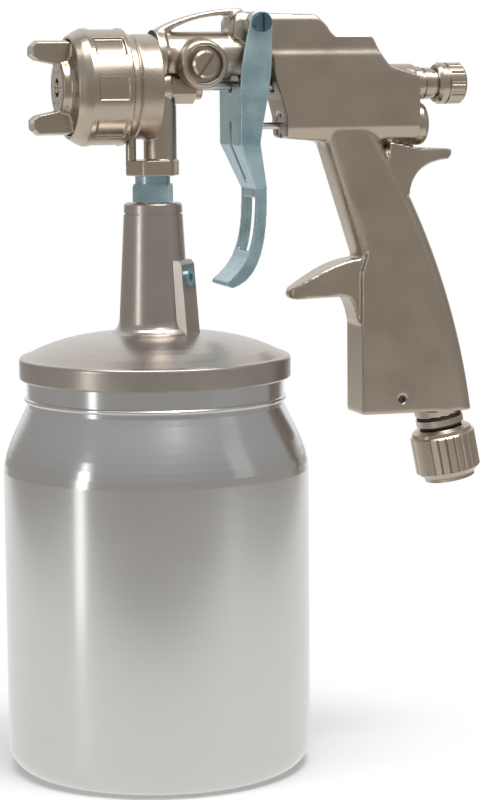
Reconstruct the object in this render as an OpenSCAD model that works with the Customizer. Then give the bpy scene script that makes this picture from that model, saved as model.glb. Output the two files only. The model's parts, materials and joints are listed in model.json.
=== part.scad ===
// Cup-fed paint spray gun, modelled as the separate pieces that it comes apart into.
// Millimetres. +Z is up, and the barrel lies along X with its muzzle towards -X.
// The origin is the centre of the cup's bottom, on the surface that the cup stands on.
// Everything on the gun is placed from the needle's axis, which the stack of pieces
// from the cup up to the fluid leg carries.

/* [Cup] */
// Outside radius of the cup's straight wall
cup_r = 53; // [48:0.5:60]
// Height of the straight wall, from the bottom to the start of the shoulder
cup_wall_h = 107.8; // [80:0.2:140]
// Height of the rounded shoulder up to the neck
cup_shoulder_h = 19.4; // [15:0.2:26]
// Outside radius of the cup's neck
cup_neck_r = 44.6; // [42:0.1:46]
// Height of the neck, from the shoulder to the rim
cup_neck_h = 13.8; // [11:0.2:18]
// Thickness of the cup's wall
cup_t = 1.3; // [0.9:0.1:2]
// Radius of the corner between the cup's wall and its bottom
cup_corner_r = 8.5; // [6:0.5:12]
// How far the rolled bead under the lid stands out of the neck
cup_bead = 0.9; // [0.5:0.1:1.2]

/* [Lid] */
// Thickness of the lid's skirt round the cup's neck
lid_skirt_t = 2.1; // [1.7:0.1:4]
// How far the skirt reaches down over the neck
lid_skirt_h = 6; // [5:0.2:8]
// Thickness of the lid's plate
lid_t = 1.6; // [1.2:0.1:2.2]
// Height that the domed plate rises from its edge to the riser
lid_dome_h = 8; // [5:0.5:11]
// Thickness of the gasket between the cup's rim and the lid
gasket_t = 1.5; // [1:0.1:2.5]
// Length of the riser, from the dome to its top face
riser_h = 44.8; // [35:0.2:60]
// Outside radius of the riser at its top
riser_top_r = 10; // [9:0.1:10.6]
// Outside radius of the riser at its foot
riser_foot_r = 12.1; // [11.4:0.1:14]
// Wall thickness of the riser
riser_t = 2; // [1.6:0.1:2.6]
// Direction of the flat boss on the riser, from the handle towards the left side
boss_turn = -42; // [-80:1:0]
// Height of the boss on the riser
boss_h = 25.3; // [20:0.1:32]
// Width of the boss on the riser
boss_w = 10; // [8:0.5:13]
// Radius of the plug in the boss
plug_r = 2.9; // [2:0.1:3.4]

/* [Pickup tube] */
// Outside radius of the tube that draws the paint up
tube_r = 4.75; // [4:0.05:4.9]
// Wall thickness of the pickup tube
tube_t = 1.2; // [0.8:0.1:1.6]
// Gap between the tube's foot and the inside of the cup's bottom
tube_foot_gap = 9; // [5:0.5:14]

/* [Coupling] */
// Outside radius across the corners of the coupling's hexagon
coupling_hex_r = 7.2; // [6.9:0.1:9]
// Height of the coupling's hexagon
coupling_hex_h = 6.2; // [4:0.2:9]
// Radius of the coupling's round neck, which screws up into the collar
coupling_neck_r = 6.05; // [5.8:0.05:6.6]
// Length of the coupling's neck that shows between its hexagon and the collar
coupling_show = 2.8; // [1.5:0.1:5]
// Depth of the collar's socket that takes the coupling
socket_depth = 4.1; // [3:0.1:4.4]

/* [Fluid head] */
// Length of the leg, from the collar's top to the needle's axis
leg_h = 25; // [22:0.5:32]
// Radius of the leg
leg_r = 5.7; // [5:0.1:6.4]
// Distance of the leg behind the cup's axis
leg_x = 2.8; // [1.6:0.1:3]
// Radius of the passage up the leg
leg_bore_r = 2.5; // [2:0.1:2.7]
// Radius of the collar across its corners
collar_r = 9.8; // [9:0.1:12]
// Height of the collar
collar_h = 5.3; // [4.8:0.1:8]
// Radius of the round flange behind the ring
flange_r = 17.9; // [16.8:0.1:19.5]
// Length of the flange
flange_l = 10.5; // [9.5:0.5:13]
// Radius of the threaded hub that the ring screws onto
hub_r = 14.6; // [13.8:0.1:15]
// Length of the hub in front of the flange
hub_l = 8.6; // [8.6:0.1:11]
// Radius of the small tube that feeds air to the cup
feed_r = 1.8; // [1.2:0.1:2]

/* [Nozzle set] */
// Outside radius of the ring
ring_r = 20; // [19:0.1:22]
// Length of the ring's straight part
ring_l = 14.3; // [13.6:0.1:18]
// Length of the ring's bevelled front
ring_bevel_l = 4.6; // [4.2:0.2:6]
// Number of finger pockets round the ring
pocket_n = 8; // [6:1:12]
// Depth of each finger pocket
pocket_depth = 0.9; // [0.5:0.1:1.4]
// Radius of the air cap's neck, which stands in the ring's mouth
cap_neck_r = 16.1; // [15.5:0.1:16.5]
// Radius of the air cap's centre boss
cap_boss_r = 10.1; // [8.5:0.1:11]
// Distance of the boss's face in front of the flange's rear face
cap_face_l = 33.3; // [32:0.1:36]
// Length of the horns in front of the boss's face
horn_l = 9; // [6:0.5:12]
// Thickness of each horn along its radius
horn_t = 6.3; // [5:0.1:7]
// Width of each horn
horn_w = 9.6; // [7:0.2:12]
// Radius of the fluid nozzle's mouth
orifice_r = 0.7; // [0.5:0.05:0.9]
// Radius of the nozzle's hexagon across its corners
nozzle_hex_r = 8; // [7:0.1:9]

/* [Needle] */
// Radius of the needle's shaft
needle_r = 1.6; // [1.3:0.05:1.8]
// Radius of the collar that the trigger pulls
pull_r = 5; // [4.2:0.1:6]
// Length of the collar that the trigger pulls
pull_l = 5.4; // [4:0.2:6]
// Radius of the packing nut
packing_nut_r = 6.3; // [5.8:0.1:6.4]
// Length of the packing nut
packing_nut_l = 11.1; // [10:0.1:12]
// Radius of the needle's spring, to the middle of its wire
needle_spring_r = 2.8; // [2.4:0.1:2.9]

/* [Body] */
// Radius of the round barrel
barrel_r = 8.3; // [8:0.1:9]
// Height of the barrel's own axis over the needle's axis
barrel_up = 10.3; // [10.2:0.1:10.6]
// Radius of the air passage in the barrel
barrel_bore_r = 4; // [3.2:0.1:4.4]
// Half width of the body's lower flanks
flank_w = 9.3; // [9.1:0.1:9.8]
// Half width of the body above its ledge
crest_w = 8.4; // [8:0.1:8.8]
// Radius of the round housing of the needle's spring
housing_r = 7; // [6.6:0.1:7.6]
// Width of the hanging loop
loop_w = 8; // [6:0.5:12]

/* [Grip] */
// Thickness of the grip
grip_t = 17.6; // [15:0.2:18.4]
// Radius that rounds the upper grip's edges
grip_round = 6; // [3:0.5:7]
// Radius of the air passage up the grip
grip_bore_r = 4.6; // [3.6:0.1:4.8]
// Width of the finger spur at its root
spur_w = 13; // [10:0.5:16]

/* [Trigger] */
// Distance of the trigger's pivot behind the cup's axis
pivot_x = 35.6; // [35:0.1:36.4]
// Height of the trigger's pivot over the needle's axis
pivot_up = 21.5; // [21.2:0.1:21.8]
// Radius of the pivot screw's shank
pivot_r = 2; // [1.6:0.1:2.1]
// Outside width of the trigger's upper part
trigger_w = 25.7; // [25.2:0.1:29]
// Outside width of the finger part
finger_w = 18.6; // [15:0.2:21]
// Thickness of the trigger's sheet
sheet_t = 1.7; // [1.2:0.1:1.9]
// Radius of the trigger's eyes round the pivot
eye_r = 4.1; // [3.4:0.1:4.4]

/* [Air valve] */
// Distance of the air valve's axis below the needle's axis
valve_down = 14; // [13.8:0.1:14.4]
// Radius of the valve's stem
stem_r = 1.2; // [0.9:0.05:1.4]
// Radius of the valve's chamber
chamber_r = 6; // [5.4:0.1:6.2]
// Radius of the domed cap behind the valve
valve_cap_r = 7.6; // [6.8:0.1:7.6]
// Length of the domed cap outside the body
valve_cap_l = 4.7; // [3.5:0.1:6]
// Radius of the valve's spring, to the middle of its wire
valve_spring_r = 4.2; // [3.6:0.1:4.5]

/* [Knobs] */
// Radius of the fluid knob
fluid_knob_r = 7.3; // [6.4:0.1:8.4]
// Length of the fluid knob
fluid_knob_l = 10.2; // [8:0.2:13]
// Radius of the neck in front of the fluid knob
neck_r = 5; // [4.4:0.1:5.6]
// Number of flutes round the fluid knob
flute_n = 12; // [8:1:20]
// Radius of the side valve's boss
side_boss_r = 8.4; // [7.8:0.1:9]
// Radius of the side valve's slotted knob
side_knob_r = 4.7; // [3.8:0.1:5.2]
// Distance of the side valve's axis behind the cup's axis
side_x = 15.2; // [14.8:0.1:16]
// Height of the side valve's axis over the needle's axis
side_up = 7.5; // [7.2:0.1:8]

/* [Air inlet] */
// Lean of the inlet's axis away from the vertical, towards the rear
inlet_lean = 11; // [6:1:15]
// Radius of the inlet's neck
inlet_neck_r = 8.5; // [7.8:0.1:8.8]
// Radius of the swivel nut
swivel_r = 11.6; // [10.6:0.1:13]
// Length of the swivel nut
swivel_l = 18.8; // [16:0.2:24]
// Radius of the hole in the swivel nut, inside the thread
inlet_bore_r = 6.6; // [6:0.1:7]
// Number of grooves round the swivel nut
swivel_groove_n = 24; // [12:2:36]

/* [Fits] */
// Radial gap of a shaft that turns or slides in its hole
run_gap = 0.05; // [0.02:0.01:0.1]
// Gap between pieces that move past each other without a fit
free_gap = 0.3; // [0.2:0.05:0.5]

/* [Hidden] */

// Facets of everything round, which is then taken as truly round
$fn = 96;
// A cut runs this far past the face that it leaves
past = 1;

// The stack from the floor up to the needle's axis
neck_z = cup_wall_h + cup_shoulder_h;
rim_z = neck_z + cup_neck_h;
lid_z = rim_z + gasket_t;
dome_top_z = lid_z + lid_t + lid_dome_h;
riser_top_z = dome_top_z + riser_h;
coupling_z = riser_top_z + free_gap;
coupling_neck_z = coupling_z + coupling_hex_h;
collar_z = coupling_neck_z + coupling_show;
socket_top_z = collar_z + socket_depth;
axis_z = collar_z + collar_h + leg_h;

// The lid, its riser and the plug in the riser's boss
lid_r = cup_neck_r + free_gap + lid_skirt_t;
skirt_foot_z = rim_z - lid_skirt_h + 1.5;
riser_foot_z = dome_top_z + 2;
boss_top_z = dome_top_z + boss_h;
plug_z = boss_top_z - 6;
plug_out = riser_foot_r + 1.7;
plug_in = plug_out - 3;

// The pickup tube and its ferrule, in the collar's socket
tube_top_z = socket_top_z - 0.4;
ferrule_h = 1.4;

// The fluid head and nozzle set, as distances in front of the flange's rear face
hub_front = flange_l + hub_l;
leg_wall = 0.6;
boss_back = leg_x + leg_bore_r + leg_wall;
packing_x = boss_back;
chamber_bore_r = leg_bore_r + 0.3;
spigot_l = 4;
spigot_r = 4.6;
packing_r = 3.4;
ring_back = flange_l + 0.2;
ring_front = ring_back + ring_l + ring_bevel_l;
ring_wall = 2.5;
ring_step = ring_front - 2.9;
cap_flange_r = ring_r - ring_wall - free_gap;
baffle_l = 3.2;
cap_back = hub_front + baffle_l;
pocket_r = 6.8;
feed_x = -7.6;
head_screw_y = 6;
head_screw_up = 9.5;
head_screw_r = 1.25;
head_screw_head_r = 2.25;
head_screw_head_l = 2.5;
head_air_up = 11.4;
gasket_sheet = 0.3;
nozzle_tip = cap_face_l + 0.3;
horn_tip = cap_face_l + horn_l;
horn_up = cap_neck_r - horn_t / 2;

// The needle
pull_x = 29.75;
spring_front = 72.5;
body_end = 95;
housing_x = 70;
housing_bore_r = 5.2;
bush_flange_t = 2.4;
needle_back = 91;
needle_wire_r = 0.5;
needle_turns = 7;
spring_seat_l = 2.5;
bush_bore_r = 3.4;
bush_l = 7.5;
knob_tip_x = 92.5;
knob_x = body_end + bush_flange_t + bush_l - 1.4;

// The body's blocks, along X
valve_front = 46.1;
gland_l = 4.6;
front_chamber_x = 51;
seat_x = 60;
seat_l = 3;
riser_bore_x = 55.5;
riser_bore_y = 5;
riser_bore_r = 2.2;
valve_wire_r = 0.6;
valve_turns = 7;
poppet_l = 4;
cap_plug_l = 7;
cap_plug_x = body_end - cap_plug_l;
poppet_x = seat_x + seat_l;
gland_r = 4.4;

// The grip's foot and the air inlet, in the gun's own frame
foot_z = -116;
inlet_x = 104.8;
inlet_z = foot_z;
inlet_boss_l = 1.9;
nipple_thread_r = 6.4;
nipple_thread_l = 9;
nipple_flange_z = inlet_boss_l + 1.1;
nipple_flange_l = 2.3;
nipple_shaft_r = 4.8;
nut_z = nipple_flange_z + nipple_flange_l + 1 + free_gap;
nut_lip_l = 3.8;
grip_plug_x = 88.3;
grip_plug_z = -111;
grip_plug_r = 1.3;

// The arc of the grip's back, the lean of its upper front edge and its air passage
grip_back_x = 118;
grip_arc_r = 253;
grip_cx = grip_back_x - grip_arc_r;
grip_cz = -150;
back_round = 5;
front_lean = 17.7;
grip_lean = atan2(inlet_x - 80, -17.5 - inlet_z);
grip_bore_l = 97;

// The side valve in its boss, and the ears that the trigger's pivot runs in
side_boss_y = 13;
side_seat_y = 9;
side_bore_y = 5.2;
side_spindle_r = 2.2;
side_bush_t = 2.2;
ear_y = trigger_w / 2 - sheet_t - 0.1;

// The trigger
web_x = 28;
cheek_foot = -20;
jog_foot = -35;
jog_x = 34.6;
jog_depth = 3.7;
slit_w = 2.4;
pivot_head_t = 1.8;
pivot_head_y = trigger_w / 2 + free_gap;

// Turns a shape that was drawn along +Z so that it lies along +X, at a height
module along_x(x, up = 0) { translate([x, 0, up]) rotate([0, 90, 0]) children(); }
// Turns a shape that was drawn along +Z so that it lies along -Y
module along_left(x, y, up) { translate([x, y, up]) rotate([90, 0, 0]) children(); }
// Moves a shape from the needle axis's frame into the part's frame
module gun_frame() { translate([0, 0, axis_z]) children(); }
// Places a shape on the leaning axis of the air inlet, with +Z running out of the grip
module inlet_frame() {
    translate([inlet_x, 0, inlet_z]) rotate([0, 180 - inlet_lean, 0]) children();
}
// A side view, drawn in X and Z, given a thickness across the gun
module side_plate(width, middle = 0) {
    translate([0, middle + width / 2, 0]) rotate([90, 0, 0]) linear_extrude(width) children();
}
// Places a shape on the axis of each of the two screws that hold the head to the barrel
module at_head_screws(x) {
    for (side = [-1, 1]) translate([0, side * head_screw_y, 0]) along_x(x, head_screw_up) children();
}
// A cylinder with a hole through it
module pipe(r, bore, l) {
    difference() {
        cylinder(r = r, h = l);
        translate([0, 0, -past]) cylinder(r = bore, h = l + 2 * past);
    }
}
// Points on a curve that leaves a along the line to b and reaches d along the line from c
function bend(a, b, c, d, n = 8) = [for (i = [0:n]) let (t = i / n, s = 1 - t)
    s * s * s * a + 3 * s * s * t * b + 3 * s * t * t * c + t * t * t * d];
// Points of an arc, from one angle to another
function arc(cx, cy, r, from, to, n = 10) = [for (i = [0:n])
    let (a = from + (to - from) * i / n) [cx + r * cos(a), cy + r * sin(a)]];
// One ring of wire round a helix, at an angle along it
function coil_ring(r, wire, pitch, a, sides) = [for (k = [0:sides - 1]) let (b = 360 * k / sides)
    [(r + wire * cos(b)) * cos(a), (r + wire * cos(b)) * sin(a), pitch * a / 360 + wire * sin(b)]];
// A coil spring from Z = 0 up, whose wire is one closed tube
module coil(r, wire, length, turns, steps = 8, sides = 6) {
    rings = turns * steps;
    pitch = (length - 2 * wire) / turns;
    wraps = [for (i = [0:rings]) each coil_ring(r, wire, pitch, 360 * i / steps, sides)];
    walls = [for (i = [0:rings - 1], k = [0:sides - 1]) let (n = (k + 1) % sides, a = i * sides)
        each [[a + k, a + n, a + sides + n], [a + k, a + sides + n, a + sides + k]]];
    ends = [for (k = [1:sides - 2]) each [[0, k + 1, k],
        [rings * sides, rings * sides + k, rings * sides + k + 1]]];
    echo(spring_gap = pitch - 2 * wire);
    translate([0, 0, wire]) polyhedron(wraps, [for (f = concat(walls, ends)) [f[0], f[2], f[1]]]);
}

module cup_profile() {
    w = cup_r;
    c = cup_corner_r;
    bead_z = neck_z + 2.4;
    outer = concat([[0, 0]], arc(w - c, c, c, -90, 0),
        bend([w, cup_wall_h - 3], [w, cup_wall_h + 4], [cup_neck_r + 2.6, neck_z - 6],
             [cup_neck_r, neck_z]),
        [[cup_neck_r, bead_z - cup_bead]], arc(cup_neck_r, bead_z, cup_bead, -70, 70, 6),
        [[cup_neck_r, bead_z + cup_bead], [cup_neck_r, rim_z]]);
    inner = concat([[cup_neck_r - cup_t, rim_z], [cup_neck_r - cup_t, neck_z]],
        bend([cup_neck_r - cup_t, neck_z], [cup_neck_r - cup_t + 2.6, neck_z - 6],
             [w - cup_t, cup_wall_h + 4], [w - cup_t, cup_wall_h - 3]),
        arc(w - c, c, c - cup_t, 0, -90), [[0, cup_t]]);
    polygon(concat(outer, inner));
}

module cup() {
    color("silver") rotate_extrude() cup_profile();
}

module lid_gasket() {
    color("dimgray") translate([0, 0, rim_z])
        pipe(cup_neck_r - 0.1, cup_neck_r - cup_t - 2.5, gasket_t);
}

// The lid's plate, skirt and riser in one turned outline
module lid_profile() {
    skirt_in = lid_r - lid_skirt_t;
    foot_r = riser_foot_r;
    top = riser_top_z;
    skirt = [[skirt_in, skirt_foot_z], [lid_r - 0.6, skirt_foot_z], [lid_r, skirt_foot_z + 0.6]];
    edge = bend([lid_r, lid_z + 0.2], [lid_r, lid_z + 1.4], [lid_r - 0.4, lid_z + lid_t],
                [lid_r - 1.6, lid_z + lid_t + 0.2], 5);
    dome = bend([lid_r - 2, lid_z + lid_t + 0.3], [lid_r * 0.72, lid_z + lid_t + lid_dome_h * 0.8],
                [foot_r + 12, dome_top_z - 1], [foot_r + 3.2, dome_top_z]);
    fillet = bend([foot_r + 2.4, dome_top_z + 0.4], [foot_r + 0.8, dome_top_z + 1.4],
                  [foot_r + 0.2, riser_foot_z + 1], [foot_r, riser_foot_z + 2.4], 5);
    riser = [[riser_top_r, top - 0.6], [riser_top_r - 0.6, top], [tube_r + run_gap, top],
             [tube_r + run_gap, top - 6], [riser_top_r - riser_t, top - 8],
             [foot_r - riser_t, riser_foot_z]];
    under = bend([foot_r + 2, dome_top_z - lid_t], [foot_r + 12, dome_top_z - 1 - lid_t],
                 [lid_r * 0.72, lid_z + lid_dome_h * 0.8], [lid_r - 4, lid_z + 0.4]);
    polygon(concat(skirt, edge, dome, fillet, riser, under, [[skirt_in, lid_z]]));
}

// The flat boss on the riser, as a slab whose outer face leans in towards its top
module riser_boss_shape() {
    low = dome_top_z - 0.5;
    r = riser_foot_r;
    rotate([0, 0, boss_turn]) side_plate(boss_w)
        polygon([[0, low], [r + 3, low], [r + 2.8, low + 1.5], [r + 0.9, boss_top_z - 1.4],
                 [r - 0.2, boss_top_z], [0, boss_top_z]]);
}

// Places a shape on the plug's axis, with +Z running out of the boss
module plug_frame() {
    rotate([0, 0, boss_turn]) translate([0, 0, plug_z]) rotate([0, 90, 0]) children();
}
module cup_lid() {
    color("darkgray") difference() {
        union() {
            rotate_extrude() lid_profile();
            difference() {
                riser_boss_shape();
                translate([0, 0, dome_top_z - 2])
                    cylinder(r = riser_foot_r - riser_t, h = boss_h + 4);
            }
        }
        // A turned groove near the riser's top
        translate([0, 0, riser_top_z - 4]) pipe(riser_top_r + 2, riser_top_r - 0.3, 0.7);
        plug_frame() translate([0, 0, plug_in]) cylinder(r = plug_r + 0.02, h = 10);
        plug_frame() cylinder(r = 1.2, h = plug_out);
    }
}

module check_valve_plug() {
    color("slategray") plug_frame() difference() {
        translate([0, 0, plug_in + 1]) cylinder(r = plug_r, h = plug_out - plug_in - 0.6);
        translate([0, 0, plug_out - 0.8]) cylinder(r = plug_r * 0.55, h = 2, $fn = 6);
    }
}

module check_valve_disc() {
    color("dimgray") plug_frame() translate([0, 0, plug_in]) cylinder(r = plug_r - 0.2, h = 1);
}

module pickup_tube() {
    foot = cup_t + tube_foot_gap;
    color("gainsboro") difference() {
        translate([0, 0, foot]) pipe(tube_r, tube_r - tube_t, tube_top_z - foot);
        // The foot is cut on a slant, so that it can't seal itself on the bottom
        translate([0, 0, foot]) rotate([0, 30, 0])
            translate([0, 0, -tube_r * 2]) cube(tube_r * 4, center = true);
    }
}

module tube_ferrule() {
    color("gold") translate([0, 0, tube_top_z - ferrule_h])
        pipe(coupling_neck_r - 0.35, tube_r + 0.02, ferrule_h);
}

module coupling_nut() {
    neck_top = tube_top_z - ferrule_h;
    color("cadetblue") difference() {
        union() {
            translate([0, 0, coupling_z]) intersection() {
                cylinder(r = coupling_hex_r, h = coupling_hex_h, $fn = 6);
                cylinder(r1 = coupling_hex_r + 2, r2 = coupling_hex_r - 0.5, h = coupling_hex_h);
            }
            translate([0, 0, coupling_z]) cylinder(r = coupling_neck_r, h = neck_top - coupling_z);
        }
        translate([0, 0, coupling_z - past]) cylinder(r = tube_r + run_gap, h = 40);
    }
}

module feed_tube() {
    color("lightgray") translate([feed_x, 0, collar_z + collar_h - 2])
        pipe(feed_r, feed_r - 0.7, axis_z - flange_r - collar_z - collar_h + 5);
}

// The casting that joins the flange, the leg and the collar, before it is drilled
module head_casting() {
    along_x(-flange_l) cylinder(r = flange_r, h = flange_l);
    along_x(-hub_front) cylinder(r = hub_r, h = hub_front);
    along_x(-past) cylinder(r = pocket_r - 0.2, h = boss_back + past);
    along_x(boss_back - past) cylinder(r = spigot_r, h = spigot_l + past);
    difference() {
        translate([leg_x, 0, -leg_h - past]) cylinder(r = leg_r, h = leg_h + past);
        along_x(boss_back) cylinder(r = packing_nut_r + free_gap, h = 10);
    }
    // The rib that stiffens the leg against the flange
    side_plate(5) polygon([[-3, -flange_r + 1], [leg_x, -flange_r + 1], [leg_x, -flange_r - 5]]);
}

module fluid_head() {
    color("tan") difference() {
        union() {
            gun_frame() head_casting();
            translate([0, 0, collar_z]) intersection() {
                cylinder(r = collar_r, h = collar_h, $fn = 6);
                cylinder(r = collar_r - 0.5, h = collar_h);
            }
        }
        gun_frame() {
            // Paint chamber round the needle, the nozzle's socket and the packing's seat
            along_x(-hub_front - past) cylinder(r = chamber_bore_r, h = hub_front + packing_x + past);
            along_x(-hub_front - past) cylinder(r = 5, h = 8 + past);
            along_x(packing_x) cylinder(r = packing_r, h = 10);
            // Air passage from the barrel to the front
            along_x(-hub_front - past, head_air_up) cylinder(r = 2.2, h = hub_front + 2 * past);
            at_head_screws(-hub_front - past) {
                cylinder(r = head_screw_r, h = hub_front + 2 * past);
                cylinder(r = head_screw_head_r + 0.05, h = head_screw_head_l + past);
            }
            translate([leg_x, 0, -leg_h - collar_h]) cylinder(r = leg_bore_r, h = leg_h + collar_h);
            translate([feed_x, 0, -flange_r - 2]) cylinder(r = feed_r, h = 5.2);
            translate([feed_x, 0, -flange_r]) cylinder(r = 1, h = 8);
            // Grooves turned into the flange
            along_x(-flange_l + 2.2) pipe(flange_r + 2, flange_r - 0.6, 0.9);
        }
        translate([feed_x, 0, collar_z + collar_h - 2]) cylinder(r = feed_r, h = 5);
        translate([0, 0, collar_z - past]) cylinder(r = coupling_neck_r + run_gap, h = socket_depth + past);
    }
}

module head_gasket() {
    color("dimgray") gun_frame() difference() {
        along_x(0, barrel_up) cylinder(r = barrel_r + 0.6, h = gasket_sheet);
        along_x(-past) cylinder(r = pocket_r, h = 4);
        along_x(-past, barrel_up + 2.3) cylinder(r = barrel_bore_r, h = 4);
        at_head_screws(-past) cylinder(r = head_screw_r, h = 4);
    }
}

module head_screws() {
    color("dimgray") gun_frame() at_head_screws(-hub_front) difference() {
        union() {
            cylinder(r = head_screw_head_r, h = head_screw_head_l);
            cylinder(r = head_screw_r, h = hub_front + gasket_sheet + 5);
        }
        translate([0, 0, -past]) cylinder(r = 1.1, h = 1.6 + past, $fn = 6);
    }
}

module fluid_nozzle() {
    b = hub_front;
    tip = nozzle_tip;
    color("gainsboro") gun_frame() difference() {
        union() {
            along_x(-b) cylinder(r = 4.95, h = 7);
            along_x(-b - 4) cylinder(r = nozzle_hex_r, h = 4, $fn = 6);
            along_x(-b - 6) cylinder(r = 6, h = 3);
            rotate([0, 90, 0]) rotate_extrude() polygon([
                [0, -tip], [1.5, -tip], [2.4, -tip + 2.5], [2.6, -tip + 4],
                [5.6, -b - 5.5], [5.6, -b], [0, -b]]);
        }
        rotate([0, 90, 0]) rotate_extrude() polygon([
            [0, -tip - past], [orifice_r, -tip - past], [orifice_r, -tip + 0.8],
            [needle_r + 0.9, -tip + 8], [needle_r + 0.9, -b + 8], [0, -b + 8]]);
    }
}

module air_baffle() {
    color("darkkhaki") gun_frame() difference() {
        along_x(-hub_front - baffle_l) cylinder(r = hub_r - 0.4, h = baffle_l);
        along_x(-hub_front - baffle_l - past) cylinder(r = nozzle_hex_r + 0.3, h = 10);
        for (a = [22.5:45:359]) rotate([a, 0, 0])
            along_x(-hub_front - baffle_l - past, nozzle_hex_r + 3) cylinder(r = 1.3, h = 10);
    }
}

// One horn of the air cap, cut from a turned ring
module horn() {
    out = cap_neck_r - 0.1;
    in = out - horn_t;
    tip = horn_tip;
    intersection() {
        rotate([0, 90, 0]) rotate_extrude()
            polygon([[in - 1.5, -cap_back - 4], [in - 0.8, -cap_face_l + 1], [in + 0.6, -tip + 2],
                     [in + 2, -tip], [out - 1.6, -tip], [out, -tip + 1.6], [out, -cap_back - 4]]);
        rotate([0, 90, 0]) translate([-out - 1, -horn_w / 2, -tip - 1])
            cube([horn_t + 4, horn_w, tip - cap_back]);
    }
}

module air_cap() {
    b = cap_back;
    lip = ring_step;
    color("tan") gun_frame() difference() {
        union() {
            rotate([0, 90, 0]) rotate_extrude() polygon([
                [0, -b], [cap_flange_r, -b], [cap_flange_r, -lip + 0.1], [cap_neck_r, -lip + 0.1],
                [cap_neck_r, -ring_front + 1.3], [cap_neck_r - 0.8, -ring_front + 0.6],
                [cap_boss_r + 1.5, -ring_front + 0.2], [cap_boss_r, -ring_front - 0.8],
                [cap_boss_r - 0.4, -cap_face_l + 0.6], [cap_boss_r - 1.2, -cap_face_l], [0, -cap_face_l]]);
            horn();
            rotate([180, 0, 0]) horn();
        }
        // The hollow behind the cap's face, and the mouth round the nozzle's tip
        rotate([0, 90, 0]) rotate_extrude() polygon([
            [0, -b + past], [cap_neck_r - 2.6, -b + past], [cap_neck_r - 2.6, -b - 2],
            [6.6, -cap_face_l + 5.5], [3.4, -cap_face_l + 3], [0, -cap_face_l + 3]]);
        along_x(-cap_face_l - past) cylinder(r = 3.3, h = 10);
        for (a = [30:60:359]) rotate([a, 0, 0])
            along_x(-cap_face_l - past, 6.2) cylinder(r = 0.6, h = 8);
        // Each horn's air passage and the two jets that it feeds
        for (side = [0, 180]) rotate([side, 0, 0]) {
            along_x(-horn_tip + 3, horn_up - 0.4) cylinder(r = 1.3, h = horn_tip - b - 3 + past);
            for (s = [3.6, 6]) translate([-horn_tip + s, 0, horn_up]) rotate([0, 200, 0])
                cylinder(r = 0.75, h = 8);
        }
    }
}

module cap_ring() {
    pocket_w = 360 / pocket_n * 0.52;
    color("wheat") gun_frame() difference() {
        rotate([0, 90, 0]) rotate_extrude() polygon([
            [hub_r + run_gap, -ring_back], [ring_r - 0.5, -ring_back], [ring_r, -ring_back - 0.5],
            [ring_r, -ring_back - ring_l], [ring_r - 1.1, -ring_front + ring_bevel_l - 2.3],
            [cap_neck_r + 1.3, -ring_front], [cap_neck_r + free_gap, -ring_front],
            [cap_neck_r + free_gap, -ring_step], [ring_r - ring_wall, -ring_step],
            [ring_r - ring_wall, -hub_front - 1], [hub_r + run_gap, -hub_front + 0.4]]);
        for (i = [0:pocket_n - 1]) rotate([i * 360 / pocket_n, 0, 0])
            rotate([0, 90, 0]) translate([0, 0, -ring_back - ring_l + 2])
                intersection() {
                    pipe(ring_r + past, ring_r - pocket_depth, ring_l - 4);
                    translate([-ring_r - 4, -ring_r * sin(pocket_w / 2), -past])
                        cube([14, 2 * ring_r * sin(pocket_w / 2), ring_l]);
                }
    }
}

module packing_seal() {
    color("white") gun_frame() along_x(packing_x)
        pipe(packing_r - 0.02, needle_r + run_gap, spigot_l - 0.6);
}

module packing_nut() {
    l = packing_nut_l;
    back = boss_back + 0.1;
    color("tan") gun_frame() along_x(back) difference() {
        union() {
            intersection() {
                cylinder(r = packing_nut_r, h = l - 2.5, $fn = 6);
                cylinder(r = packing_nut_r - 0.3, h = l - 2.5);
            }
            translate([0, 0, l - 3]) cylinder(r = packing_nut_r * 0.72, h = 3);
        }
        translate([0, 0, -past]) cylinder(r = spigot_r + 0.02, h = spigot_l + 0.6 + past);
        translate([0, 0, -past]) cylinder(r = needle_r + run_gap, h = l + 2 * past);
    }
}

module fluid_needle() {
    tip = nozzle_tip - 0.5;
    color("gainsboro") gun_frame() rotate([0, 90, 0]) rotate_extrude()
        polygon([[0, -tip], [orifice_r - 0.15, -tip], [orifice_r - 0.1, -tip + 1], [needle_r, -tip + 9],
                 [needle_r, needle_back - 1], [needle_r - 0.6, needle_back], [0, needle_back]]);
}

module pull_collar() {
    color("darkgray") gun_frame() along_x(pull_x) difference() {
        union() {
            cylinder(r = pull_r, h = 1.8);
            cylinder(r = pull_r - 0.9, h = pull_l);
        }
        translate([0, 0, -past]) cylinder(r = needle_r + 0.01, h = 20);
    }
}

module needle_spring_seat() {
    color("darkgray") gun_frame() along_x(spring_front - spring_seat_l)
        pipe(housing_bore_r - 0.3, needle_r + 0.01, spring_seat_l);
}

module needle_spring() {
    color("silver") gun_frame() along_x(spring_front)
        coil(needle_spring_r, needle_wire_r, knob_tip_x - spring_front, needle_turns);
}

// The bush that closes the spring's housing and carries the fluid knob's thread
module needle_housing_bush() {
    color("tan") gun_frame() difference() {
        union() {
            along_x(body_end - 6) cylinder(r = housing_bore_r - 0.02, h = 6);
            along_x(body_end) cylinder(r = housing_r - 1, h = bush_flange_t);
            along_x(body_end) cylinder(r = neck_r, h = bush_flange_t + bush_l);
            along_x(body_end + bush_flange_t + 1.6) cylinder(r = neck_r + 0.5, h = 2.2);
        }
        along_x(body_end - 8) cylinder(r = bush_bore_r + run_gap, h = 30);
    }
}

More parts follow.
